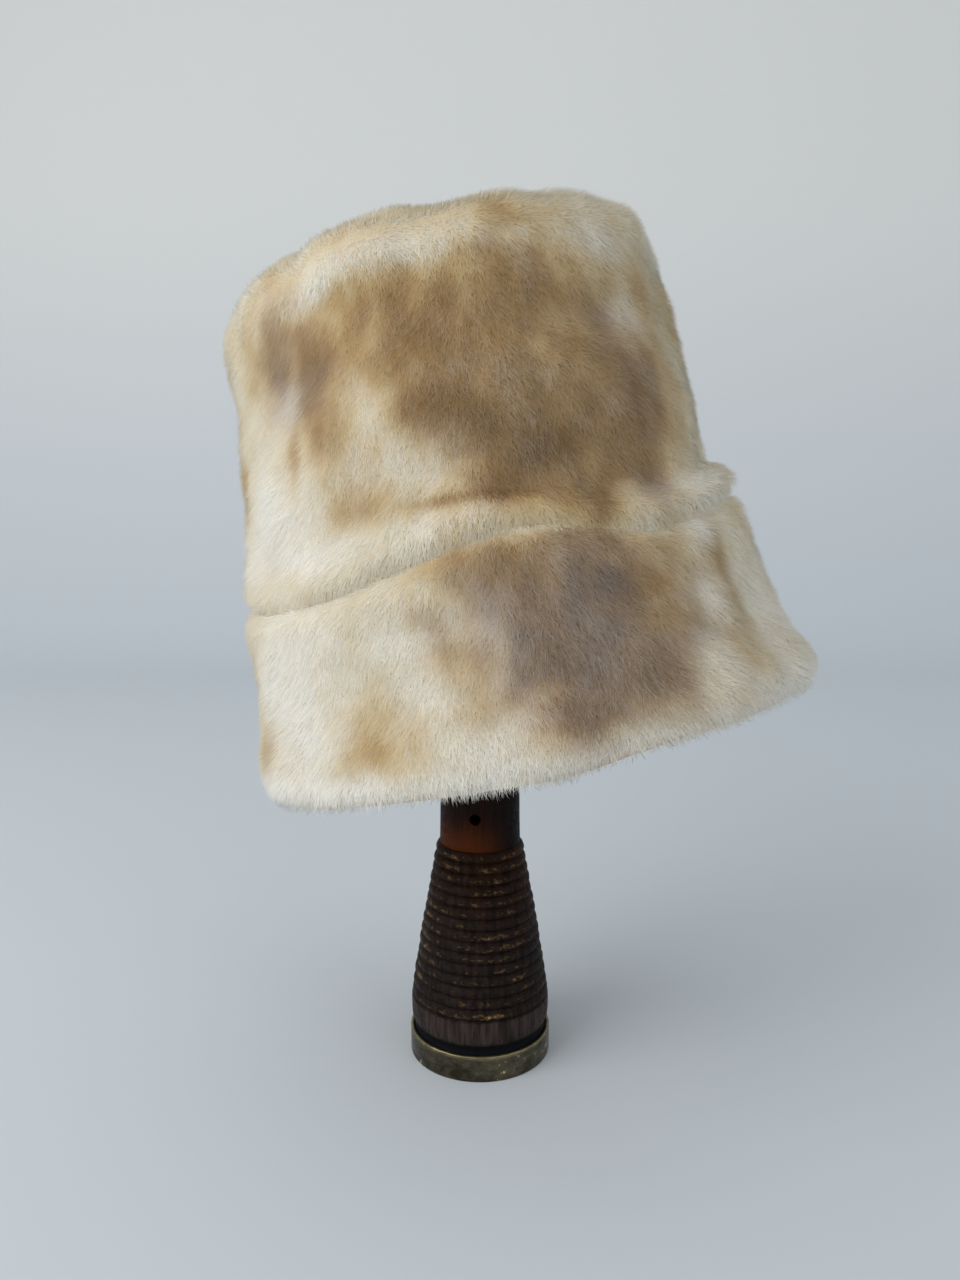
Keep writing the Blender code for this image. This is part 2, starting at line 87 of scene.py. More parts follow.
# Hat: the pile's clouds of colour. Azimuth in degrees (0 right, 90 back, 180 left, 270 front), height in
# millimetres above the seam, half widths in degrees and millimetres, lean in degrees.
# stain runs from cream to dark brown, grey cools it, gold warms it, white bleaches it. Left out, they are 0. A
# few clouds, marked below, use them to paint shade and highlights.
Cloud = namedtuple("Cloud", "azimuth height turn rise lean stain grey gold white", defaults=(0, 0, 0, 0))
crownClouds = [
    Cloud(276, 64, 31, 50, 0, 0.48, 0.05),
    Cloud(284, 38, 17, 30, 0, 0.26, 0.1),
    Cloud(292, 22, 15, 16, 0, 0.30),
    Cloud(255, 86, 17, 22, 0, 0.16, 0, 0.25),
    Cloud(277, 30, 12, 14, 0, 0.12, 0.1),
    Cloud(289, 98, 11, 15, 0, 0.36),
    Cloud(310, 34, 11, 34, 0, 0.30, 0.15),
    Cloud(302, 82, 6, 14, 10, 0.18, 0.1),
    Cloud(287, 70, 12, 13, 0, -0.06),
    Cloud(251, 58, 4, 22, -18, -0.34, 0, 0.2),
    Cloud(227, 90, 14, 24, 8, 0.36, 0.2, 0.2),
    Cloud(222, 90, 5, 11, 20, 0.20, 0.3, 0.1),
    # painted highlight: mauve-white light on the crown's front left
    Cloud(224, 71, 7, 10, -20, -0.06, 0.6, 0, 0.25),
    Cloud(230, 76, 14, 22, 0, 0.04, 0.3),
    Cloud(233, 84, 7, 17, 0, 0.20, 0.1, 0.1),
    Cloud(238, 60, 6, 17, 0, 0.22, 0.2, 0.1),
    Cloud(248, 88, 10, 18, 0, 0.05, 0, 0.2),
    Cloud(264, 48, 9, 15, 0, 0.26, 0.1, 0.1),
    Cloud(273, 17, 8, 9, 0, 0.16, 0, 0.3),
    Cloud(227, 46, 2.6, 13, 8, 0.34, 0, 0.3),
    Cloud(236, 43, 2.5, 9, -6, 0.22, 0, 0.2),
    Cloud(213, 25, 19, 26, 0, 0, 0, 0, 0.75),
    Cloud(229, 8, 14, 10, 0, 0, 0, 0, 0.5),
    Cloud(243, 24, 9, 8, 0, 0.22, 0, 0.3),
    Cloud(246, 34, 9, 10, 0, 0, 0, 0.2, 0.2),
    Cloud(259, 31, 8, 9, 0, -0.12, 0, 0.1, 0.3),
    Cloud(257, 9, 6, 7, 0, 0, 0, 0, 0.65),
    Cloud(268, 11, 6, 4, 0, 0, 0, 0.1, 0.35),
    # painted shadow: the dark line along the fold above the seam
    Cloud(267, 16.5, 12, 2.6, 6, 0.36, 0, 0.2),
    Cloud(277, 6, 9, 6, 4, -0.14, 0, 0.45),
    Cloud(291, 7, 7, 9, 0, 0.42),
    Cloud(318, 60, 15, 50, 0, 0.27, 0.2, 0.1),
    Cloud(317, 78, 7, 9, 0, 0, 0.1, 0, 0.4),
    Cloud(312, 108, 9, 10, 0, 0, 0.1, 0, 0.55),
    Cloud(331, 92, 5, 12, 0, 0.18, 0.2),
    Cloud(318, 6, 16, 8, 0, -0.15, 0.2, 0, 0.35),
    Cloud(308, 11, 8, 8, 0, 0.30, 0, 0.1),
    Cloud(243, 112, 7, 6, 0, -0.10, 0, 0, 0.75),
    Cloud(226, 114, 6, 5, 0, 0, 0, 0.1, 0.35),
    Cloud(267, 113, 11, 7, 0, -0.12, 0, 0.1, 0.45),
    Cloud(256, 116, 11, 6, 0, 0, 0, 0.1, 0.45),
    Cloud(270, 92, 8, 10, 0, 0.14),
    Cloud(292, 119, 8, 5, 0, 0.16, 0, 0.2),
    Cloud(234, 107, 9, 5, 0, -0.15, 0, 0.3, 0.4),
    Cloud(18, 60, 26, 34, 0, 0.50, 0.2),
    Cloud(352, 88, 14, 16, 0, 0.20, 0.1, 0.1),
    Cloud(75, 82, 24, 30, 10, 0.58, 0.3),
    Cloud(70, 20, 18, 14, 0, 0.22, 0, 0.3),
    Cloud(122, 38, 26, 30, -10, 0.46, 0.1),
    Cloud(165, 84, 20, 24, 0, 0.42, 0.4),
    Cloud(150, 15, 12, 10, 0, 0, 0, 0, 0.5),
    Cloud(98, 55, 10, 14, 0, -0.2, 0, 0.2, 0.3),
    Cloud(186, 50, 9, 16, 0, 0.22, 0, 0.2),
    Cloud(40, 105, 18, 10, 0, 0, 0, 0.1, 0.5),
]
topClouds = [  # height here is the distance out from the middle of the top, in millimetres
    Cloud(60, 45, 40, 22, 0, 0.45, 0.2),
    Cloud(200, 40, 50, 20, 0, 0.30, 0, 0.2),
    Cloud(320, 30, 40, 16, 0, 0, 0, 0, 0.5),
    Cloud(130, 60, 30, 16, 0, 0, 0, 0.1, 0.5),
]
brimClouds = [
    Cloud(221, -34, 13, 44, 0, 0, 0, 0, 0.85),
    Cloud(228, -80, 16, 9, 0, 0, 0, 0, 0.7),
    Cloud(207, -64, 6, 12, 0, 0.34, 0.3),
    Cloud(241, -65, 5, 6, 0, 0.22, 0, 0.1),
    Cloud(241, -58, 12, 17, 0, 0.14, 0, 0.2),
    Cloud(256, -24, 5, 10, 0, 0.24, 0.3),
    Cloud(259, -38, 7, 8, 0, 0.18, 0, 0.25),
    Cloud(262, -50, 6, 10, 0, 0.06, 0, 0.2),
    Cloud(248, -29, 7, 8, 0, 0, 0, 0, 0.5),
    Cloud(252, -46, 7, 8, 0, 0, 0, 0, 0.4),
    Cloud(262, -66, 8, 8, 0, 0, 0, 0.1, 0.5),
    Cloud(246, -11, 6, 5, 0, 0, 0, 0.1, 0.3),
    Cloud(268, -8, 12, 9, 6, 0.34, 0, 0.1),
    Cloud(286, -44, 21, 37, -8, 0.52, 0.4),
    Cloud(281, -63, 9, 13, 0, 0.12, 0.1),
    Cloud(283, -42, 30, 42, -8, 0, 0.2),
    Cloud(265, -30, 9, 30, -8, 0, 0.15),
    Cloud(304, -65, 7, 8, 0, -0.1, 0, 0, 0.45),
    Cloud(270, -25, 9, 24, -10, 0.13),
    Cloud(275, -54, 6, 18, -10, 0.22, 0.1),
    Cloud(289, -20, 14, 14, 0, 0.22, 0.1),
    Cloud(285, -36, 7, 20, 0, 0.10, 0.4),
    Cloud(297, -32, 7, 14, 0, 0.10, -0.4),
    Cloud(293, -60, 8, 10, 0, 0.12, -0.1),
    Cloud(274, -66, 5, 10, 0, 0.10, -0.1),
    Cloud(268, -34, 6, 24, -6, 0.10, 0.4),
    Cloud(313, -36, 12, 34, 0, 0.10, 0.1, 0.1),
    # painted highlights: white light on the brim's folds at the front right
    Cloud(317, -10, 5, 6, 0, 0, 0.1, 0, 0.9),
    Cloud(311, -37, 4.5, 10, -20, 0, 0, 0, 0.6),
    Cloud(306, -53, 5, 7, 0, 0, 0, 0, 0.45),
    # painted shade: an olive-brown valley between the brim's folds at the front right
    Cloud(322, -26, 4, 20, -10, 0.28, 0.1, 0.2),
    Cloud(335, -48, 11, 28, 0, 0, 0.1, 0, 0.45),
    Cloud(10, -40, 14, 24, 0, 0.24, 0.1, 0.2),
    Cloud(58, -44, 24, 28, 6, 0.54, 0.5),
    Cloud(100, -60, 14, 16, 0, 0, 0, 0, 0.6),
    Cloud(132, -44, 24, 26, -8, 0.46, 0.1, 0.1),
    Cloud(178, -42, 14, 22, 0, 0.20, 0, 0.3),
]
clouding = {
    "groundStain": 0.07,
    # By how many millimetres the clouds' outlines stray, and over how many metres
    "wanders": [(5.5, 0.034), (4.0, 0.012), (2.0, 0.0055)],
    "fullStray": 28.0,  # clouds smaller than this, in millimetres, stray less
    "leastStray": 0.12,
    "falloff": 1.35,
    "rimFade": (0.045, 0.08),  # the crown's clouds fade out over the top
    "raggedStretch": 0.7,
    "mottle": 0.07,
    "mottleSize": 0.02,
    "ragged": 0.18,  # noise at the clouds' edges
    "raggedSize": 0.010,
    "streak": 0.07,  # wisps that run down the pile
    "streakSize": 0.0042,
    "streakStretch": 0.3,
    "gilding": 0.34,  # golden and white drifts in the cream
    "gildingSize": 0.024,
    "fringeStart": -67.0,  # the pale band along the brim's edge, in millimetres above the seam
    "fringeFull": -81.0,
    "fringeWhite": 0.66,
}

# Hat: the pile
pile = {
    "strandsPerSquareMetre": 2.15e6,
    "strandLength": 0.0074,
    "strandWidth": 0.00046,
    "tipReach": 0.78,  # how far a tip lies along the skin, as a share of its length
    "tipHeight": 0.56,
    "lengthSpread": 0.14,
    "turnSpread": 26.0,
    "leanSpread": 8.0,
    "tuftSize": 0.007,
    "tuftTurn": 26.0,
    "swirlSize": 0.04,
    "swirlTurn": 50.0,
    "halfWidth": 0.577,  # the spike's own sizes, as shares of the strand's width
    "thickness": 0.14,
    "longest": 1.12,
}


def smoothStep(low, high, value):
    share = np.clip((value - low) / (high - low), 0.0, 1.0)
    return share * share * (3.0 - 2.0 * share)


def unit(rows):
    return rows / np.maximum(np.linalg.norm(rows, axis=1, keepdims=True), 1e-12)


def noiseAt(points, size, shift, octaves=1):
    places = points / size + np.array([shift, 1.7 * shift, -shift])
    if octaves == 1:
        return np.array([noise.noise(p) for p in places])
    return np.array([noise.fractal(p, 0.8, 2.1, octaves) for p in places])


def readVectors(items, name, count):
    flat = np.empty(count * 3, np.float32)
    items.foreach_get(name, flat)
    return flat.reshape(-1, 3).astype(float)


def addObject(name, mesh):
    made = bpy.data.objects.new(name, mesh)
    bpy.context.scene.collection.objects.link(made)
    return made


def plainMesh(made, name):  # the evaluated object as a plain mesh, its modifiers gone
    graph = bpy.context.evaluated_depsgraph_get()
    mesh = bpy.data.meshes.new_from_object(made.evaluated_get(graph), depsgraph=graph)
    mesh.name = name
    made.modifiers.clear()
    old = made.data
    made.data = mesh
    bpy.data.meshes.remove(old)
    return mesh


# Materials


def newMaterial(name):  # its node tree and the object's own coordinates come with it
    made = bpy.data.materials.new(name)
    made.use_nodes = True
    made.node_tree.nodes.clear()
    return made, made.node_tree, addNode(made.node_tree, "ShaderNodeTexCoord").outputs["Object"]


def feed(tree, socket, value):  # with another node's socket or with a constant
    if isinstance(value, bpy.types.NodeSocket):
        tree.links.new(value, socket)
    else:
        socket.default_value = value


def addNode(tree, kind, settings=None, **inputs):
    node = tree.nodes.new(kind)
    for key, value in (settings or {}).items():
        setattr(node, key, value)
    for key, value in inputs.items():
        numbered = key[0] == "i" and key[1:].isdigit()
        feed(tree, node.inputs[int(key[1:]) if numbered else key.replace("_", " ")], value)
    return node


def sums(tree):  # a node tree's arithmetic
    def calc(operation, first, second=0.0, clamp=False):
        settings = {"operation": operation, "use_clamp": clamp}
        return addNode(tree, "ShaderNodeMath", settings, i0=first, i1=second).outputs[0]

    def plus(first, second, clamp=False):
        return calc("ADD", first, second, clamp)

    def minus(first, second):
        return calc("SUBTRACT", first, second)

    def times(first, second, clamp=False):
        return calc("MULTIPLY", first, second, clamp)

    return calc, plus, minus, times


def mixColour(tree, share, first, second, blend="MIX"):
    node = addNode(tree, "ShaderNodeMix", {"data_type": "RGBA", "blend_type": blend})
    for slot, value in ((0, share), (6, first), (7, second)):
        feed(tree, node.inputs[slot], (*value, 1.0) if isinstance(value, tuple) else value)
    return node.outputs[2]


def ramp(tree, share, stops, smooth=True):
    node = tree.nodes.new("ShaderNodeValToRGB")
    node.color_ramp.interpolation = "EASE" if smooth else "LINEAR"
    while len(node.color_ramp.elements) < len(stops):
        node.color_ramp.elements.new(0.5)
    for element, (place, colour) in zip(node.color_ramp.elements, stops):
        element.position = place
        element.color = (*colour, 1.0)
    tree.links.new(share, node.inputs[0])
    return node.outputs[0]


def grey(value):
    return (value, value, value)


def noiseNode(tree, vector, scale, detail=3.0, roughness=0.5):
    node = addNode(tree, "ShaderNodeTexNoise", Vector=vector, Scale=scale, Detail=detail, Roughness=roughness)
    return node.outputs[0]


def smoothRange(tree, value, low=0.0, high=1.0):
    settings = {"interpolation_type": "SMOOTHSTEP"}
    return addNode(tree, "ShaderNodeMapRange", settings, Value=value, From_Min=low, From_Max=high).outputs[0]


def bumpNode(tree, height, strength, distance):
    return addNode(tree, "ShaderNodeBump", Strength=strength, Distance=distance, Height=height).outputs[0]


def stretched(tree, place, tall):
    return addNode(tree, "ShaderNodeMapping", Vector=place, Scale=(1.0, 1.0, tall)).outputs[0]


def shade(tree, **inputs):  # the shader and the material's output
    shader = addNode(tree, "ShaderNodeBsdfPrincipled", **inputs)
    addNode(tree, "ShaderNodeOutputMaterial", Surface=shader.outputs[0])


def attribute(tree, name):
    return addNode(tree, "ShaderNodeAttribute", {"attribute_name": name})


def label(key):  # ribCount is shown as Rib count
    return re.sub("[A-Z]", lambda found: " " + found[0].lower(), key).capitalize()


def newTree(name, values):  # a node group that changes a geometry, with an input for each value
    tree = bpy.data.node_groups.new(name, "GeometryNodeTree")
    kinds = {bpy.types.Material: "Material", int: "Int", float: "Float"}
    for way in ("INPUT", "OUTPUT"):
        tree.interface.new_socket("Geometry", in_out=way, socket_type="NodeSocketGeometry")
    for key, value in values.items():
        tree.interface.new_socket(label(key), in_out="INPUT", socket_type="NodeSocket" + kinds[type(value)])
    return tree, tree.nodes.new("NodeGroupInput").outputs


def storeNode(tree, geometry, name, value, domain="POINT"):
    settings = {"data_type": "FLOAT", "domain": domain}
    node = addNode(tree, "GeometryNodeStoreNamedAttribute", settings, i0=geometry, Name=name)
    feed(tree, [s for s in node.inputs if s.enabled and s.name == "Value"][0], value)
    return node.outputs[0]


def endTree(tree, geometry, finish):
    real = addNode(tree, "GeometryNodeRealizeInstances", Geometry=geometry)
    finished = addNode(tree, "GeometryNodeSetMaterial", Geometry=real.outputs[0], Material=finish)
    addNode(tree, "NodeGroupOutput", i0=finished.outputs[0])
    return tree


def runTree(made, tree, values):
    modifier = made.modifiers.new(tree.name, "NODES")
    modifier.node_group = tree
    named = {label(key): value for key, value in values.items()}
    for item in tree.interface.items_tree:
        if item.in_out == "INPUT" and item.name in named:
            modifier[item.identifier] = named[item.name]


fleece = {
    "stainStops": [
        (0.0, (0.655, 0.615, 0.50)),
        (0.28, (0.515, 0.40, 0.222)),
        (0.52, (0.35, 0.232, 0.111)),
        (0.76, (0.24, 0.15, 0.066)),
        (1.0, (0.155, 0.096, 0.041)),
    ],
    "greyStops": [
        (0.0, (0.63, 0.60, 0.55)),
        (0.3, (0.45, 0.385, 0.32)),
        (0.6, (0.235, 0.185, 0.15)),
        (1.0, (0.15, 0.115, 0.095)),
    ],
    "gold": (0.80, 0.62, 0.34),
    "white": (0.73, 0.72, 0.675),
    # partly the fibres' own warmer base, partly painted shade deep in the pile: roots and the skin under the
    # pile are darker and warmer
    "roots": (0.90, 0.81, 0.66),
    "rootShare": 0.45,
    "mottleScale": 85.0,
    "fineScale": 330.0,
    "mottleShare": 0.24,
    "fineShare": 0.12,
    "tintShare": 0.2,  # how far strands differ in stain and in brightness
    "tintLight": 0.4,
    "goldShare": 0.75,
    "whiteShare": 0.9,
    "whiteStray": 1.1,
    "sheen": 0.25,
    "lightStray": 0.09,  # how far a strand's light strays from that of the skin under it
    "leastFacing": 0.6,  # a strand's light is turned at least this far towards its own side
    "undersideBand": (0.2, -0.2),  # from facing with the skin to facing away from it
    "throughLight": 0.6,  # extra light on the strands' undersides, which show past the hat's edge
}


def fleeceMaterial(name, onStrands):
    made, tree, place = newMaterial(name)
    _, plus, minus, times = sums(tree)
    clouds = attribute(tree, "clouds")
    parts = addNode(tree, "ShaderNodeSeparateColor", Color=clouds.outputs["Color"]).outputs
    mottle = minus(noiseNode(tree, place, fleece["mottleScale"]), 0.5)
    fine = minus(noiseNode(tree, place, fleece["fineScale"], 2.0), 0.5)
    stray = plus(times(mottle, fleece["mottleShare"]), times(fine, fleece["fineShare"]))
    if onStrands:
        tint = minus(attribute(tree, "tint").outputs["Fac"], 0.5)
        stray = plus(stray, times(tint, fleece["tintShare"]))
    stain = plus(parts[0], stray, clamp=True)
    body = ramp(tree, stain, fleece["stainStops"], smooth=False)
    cool = ramp(tree, stain, fleece["greyStops"], smooth=False)
    colour = mixColour(tree, times(parts[1], plus(1.0, mottle), clamp=True), body, cool)
    warm = mixColour(tree, 1.0, colour, fleece["gold"], "MULTIPLY")
    colour = mixColour(tree, times(parts[2], fleece["goldShare"], clamp=True), colour, warm)
    bleach = plus(clouds.outputs["Alpha"], times(stray, fleece["whiteStray"]))
    colour = mixColour(tree, times(bleach, fleece["whiteShare"], clamp=True), colour, fleece["white"])
    # partly the fibres' own tone, partly painted shade deep in the pile, where strands cast no shadows: the
    # skin and the strands' lower part take the darker root colour
    root = mixColour(tree, 1.0, colour, fleece["roots"], "MULTIPLY")
    if not onStrands:
        shade(tree, Base_Color=root, Roughness=0.85, Specular_IOR_Level=0.2, Sheen_Weight=fleece["sheen"])
        return made
    depth = smoothRange(tree, attribute(tree, "along").outputs["Fac"], 0.0, fleece["rootShare"])
    colour = mixColour(tree, depth, root, colour)
    under = attribute(tree, "underside").outputs["Fac"]
    bright = plus(plus(1.0, times(tint, fleece["tintLight"])), times(under, fleece["throughLight"]))
    light = addNode(tree, "ShaderNodeCombineXYZ", X=bright, Y=bright, Z=bright).outputs[0]
    colour = mixColour(tree, 1.0, colour, light, "MULTIPLY")
    shade(tree, Base_Color=colour, Roughness=0.85, Specular_IOR_Level=0.0)
    return made


hide = {"colour": (0.56, 0.43, 0.30), "dark": (0.42, 0.31, 0.21), "nap": 420.0, "blotch": 26.0}


def hideMaterial():
    made, tree, place = newMaterial("suedeHide")
    _, plus, _, times = sums(tree)
    nap = noiseNode(tree, place, hide["nap"], 4.0, 0.6)
    blotch = noiseNode(tree, place, hide["blotch"], 4.0)
    mixed = plus(times(blotch, 0.75), times(nap, 0.25))
    colour = ramp(tree, mixed, [(0.34, hide["dark"]), (0.62, hide["colour"])])
    shade(tree, Base_Color=colour, Roughness=0.9, Sheen_Weight=0.3, Normal=bumpNode(tree, nap, 0.35, 0.0006))
    return made


# Hat: skins made from the part's own panels


def weldedPanel(node):
    bm = bmesh.new()
    bm.from_mesh(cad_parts[node].data)
    bmesh.ops.remove_doubles(bm, verts=bm.verts, dist=2e-5)
    bmesh.ops.join_triangles(
        bm, faces=bm.faces, angle_face_threshold=math.radians(50), angle_shape_threshold=math.radians(120)
    )
    bmesh.ops.recalc_face_normals(bm, faces=bm.faces)
    creases = bm.edges.layers.float.new("crease_edge")
    for edge in bm.edges:
        if len(edge.link_faces) == 2 and edge.calc_face_angle() > math.radians(skin["creaseAngle"]):
            edge[creases] = 1.0
    mesh = bpy.data.meshes.new(node + "Panel")
    bm.to_mesh(mesh)
    bm.free()
    return mesh


def cloudsAt(kind, hatPoints, radial, azimuth):
    spread = 1000.0 * hat["girth"]
    strays = []
    for shifts in ((3.1, 9.2, 11.9), (17.4, 23.8, 27.3)):
        bands = zip(clouding["wanders"], shifts)
        strays.append(sum(2.0 * reach * noiseAt(hatPoints, size, shift) for (reach, size), shift in bands))
    strayX, strayY = strays
    total = np.zeros((len(hatPoints), 4))
    mottle = noiseAt(hatPoints, clouding["mottleSize"], 31.0)
    total[:, 0] = clouding["groundStain"] + clouding["mottle"] * mottle
    height = hatPoints[:, 2] * 1000.0
    sets = [(crownClouds if kind != "brim" else brimClouds, height)]
    if kind == "top":
        sets.append((topClouds, radial * 1000.0))
    for clouds, level in sets:
        for cloud in clouds:
            width = math.radians(cloud.turn) * spread
            loose = min(max(min(width, cloud.rise) / clouding["fullStray"], clouding["leastStray"]), 1.0)
            x = np.radians((azimuth - cloud.azimuth + 180.0) % 360.0 - 180.0) * spread + strayX * loose
            y = level - cloud.height + strayY * loose
            turn = math.radians(cloud.lean)
            across = (x * math.cos(turn) - y * math.sin(turn)) / width
            along = (x * math.sin(turn) + y * math.cos(turn)) / cloud.rise
            fall = np.exp(-((across**2 + along**2) ** clouding["falloff"]))
            if kind == "top" and clouds is crownClouds:
                fall *= smoothStep(*clouding["rimFade"], radial)
            for i, amount in enumerate((cloud.stain, cloud.grey, cloud.gold, cloud.white)):
                total[:, i] += amount * fall
    drawn = hatPoints * np.array([1.0, 1.0, clouding["streakStretch"]])
    stained = np.clip(total[:, 0], 0.0, 1.0)
    edges = 4.0 * stained * (1.0 - stained)
    ragged = hatPoints * np.array([1.0, 1.0, clouding["raggedStretch"]])
    rough = noiseAt(ragged, clouding["raggedSize"], 37.0, 3)
    streaks = noiseAt(drawn, clouding["streakSize"], 43.0, 2)
    drift = noiseAt(hatPoints, clouding["gildingSize"], 51.0, 3)
    total[:, 0] += clouding["ragged"] * rough * edges + clouding["streak"] * streaks * (0.3 + edges)
    total[:, 2] += clouding["gilding"] * np.maximum(drift, 0.0) * (1.0 - stained)
    total[:, 3] += clouding["gilding"] * np.maximum(-drift, 0.0) * (1.0 - stained)
    if kind == "brim":
        fringe = smoothStep(clouding["fringeStart"], clouding["fringeFull"], height + 0.5 * strayY)
        total[:, 3] += clouding["fringeWhite"] * fringe
    return np.clip(total, 0.0, 1.0)


def makeSkin(node, kind, name, materials):
    made = addObject(name, weldedPanel(node))
    soften = made.modifiers.new("soften", "SUBSURF")
    soften.levels = soften.render_levels = skin["subdivisions"]
    mesh = plainMesh(made, name)
    mesh.shade_smooth()
    count = len(mesh.vertices)
    points = readVectors(mesh.vertices, "co", count)
    normals = readVectors(mesh.vertex_normals, "vector", count)
    toHat = np.array(hatPlace.inverted())
    hatPoints = points @ toHat[:3, :3].T + toHat[:3, 3]
    hatNormals = normals @ toHat[:3, :3].T
    radial = np.hypot(hatPoints[:, 0], hatPoints[:, 1])
    azimuth = np.degrees(np.arctan2(hatPoints[:, 1], hatPoints[:, 0])) % 360.0
    outwards = np.stack([*(hatPoints[:, :2].T / radial.clip(1e-6)), np.zeros(count)], 1)
    towards = outwards.copy()
    if kind != "brim":  # over the shoulder the way out turns from sideways to up
        over = np.maximum(hatPoints[:, 2] - hat["shoulderHeight"], 0.0)
        side = np.maximum(radial - hat["flatRadius"], 0.0)
        towards = unit(outwards * np.maximum(side, 1e-5)[:, None] + np.array([0.0, 0.0, 1.0]) * over[:, None])
        facing = (hatNormals * towards).sum(1)
        cut = smoothStep(*skin["cutEdge"], np.hypot(over, side)) * (over > 0.0)
        covered = np.maximum(smoothStep(*skin["wallFacing"], facing), cut)
    else:
        low = smoothStep(*skin["hemTurn"], hatPoints[:, 2])
        facing = (hatNormals * outwards).sum(1)
        towards = unit(towards * (1.0 - low)[:, None] + hatNormals * low[:, None])
        covered = smoothStep(*skin["wallFacing"], facing + 0.5 * smoothStep(*skin["hemCover"], hatPoints[:, 2]))
    lift = 2.0 * skin["softLump"] * noiseAt(hatPoints, skin["softLumpSize"], 5.0)
    lift += 2.0 * skin["smallLump"] * noiseAt(hatPoints, skin["smallLumpSize"], 7.0)
    for turn, height, wide, tall, amount in skin["swells"]:
        across = ((azimuth - turn + 180.0) % 360.0 - 180.0) / wide
        lift += amount * np.exp(-(across**2) - ((hatPoints[:, 2] * 1000.0 - height) / tall) ** 2)
    moved = hatPoints + towards * ((lift - skin["pileRoom"]) * covered)[:, None]
    fromHat = np.array(hatPlace)
    points = moved @ fromHat[:3, :3].T + fromHat[:3, 3]
    mesh.vertices.foreach_set("co", points.astype(np.float32).ravel())
    mesh.update()
    normals = readVectors(mesh.vertex_normals, "vector", count)
    hatNormals = normals @ toHat[:3, :3].T
    above = np.clip(towards[:, 2:3], 0.0, 1.0) if kind != "brim" else 0.0  # the top's pile falls over the rim
    sideways = np.stack([-outwards[:, 1], outwards[:, 0], np.zeros(count)], 1)
    comb = outwards * (skin["combOut"] + (1.0 - skin["combOut"]) * above)
    comb = comb - np.array([0.0, 0.0, 1.0]) * (1.0 - above) + sideways * skin["combAround"] * above
    comb = unit(comb - hatNormals * (comb * hatNormals).sum(1)[:, None])
    comb = comb @ fromHat[:3, :3].T
    trim, start, full = skin["hemTrim" if kind == "brim" else "rimTrim"]
    length = 1.0 - trim * smoothStep(start, full, hatPoints[:, 2])
    writeAttribute(mesh, "clouds", "FLOAT_COLOR", cloudsAt(kind, hatPoints, radial, azimuth))
    writeAttribute(mesh, "comb", "FLOAT_VECTOR", comb)
    writeAttribute(mesh, "skinNormal", "FLOAT_VECTOR", normals)
    writeAttribute(mesh, "pileShare", "FLOAT", (covered > 0.5).astype(float))
    writeAttribute(mesh, "pileLength", "FLOAT", length)
    mesh.materials.clear()
    for finish in materials:
        mesh.materials.append(finish)
    loops = np.empty(len(mesh.loops), np.int32)
    mesh.loops.foreach_get("vertex_index", loops)
    starts = np.empty(len(mesh.polygons), np.int32)
    mesh.polygons.foreach_get("loop_start", starts)
    bare = covered[loops[starts]] < 0.5
    writeAttribute(mesh, "sector", "FLOAT", ((azimuth[loops[starts]] - 90.0) % 360.0) // 120.0, "FACE")
    mesh.polygons.foreach_set("material_index", bare.astype(np.int32))
    mesh.update()
    return made


def writeAttribute(mesh, name, kind, values, domain="POINT"):
    layer = mesh.attributes.new(name, kind, domain)
    field = {"FLOAT_COLOR": "color", "FLOAT_VECTOR": "vector", "FLOAT": "value"}[kind]
    layer.data.foreach_set(field, np.asarray(values, np.float32).ravel())


# Hat: pile grown on a skin


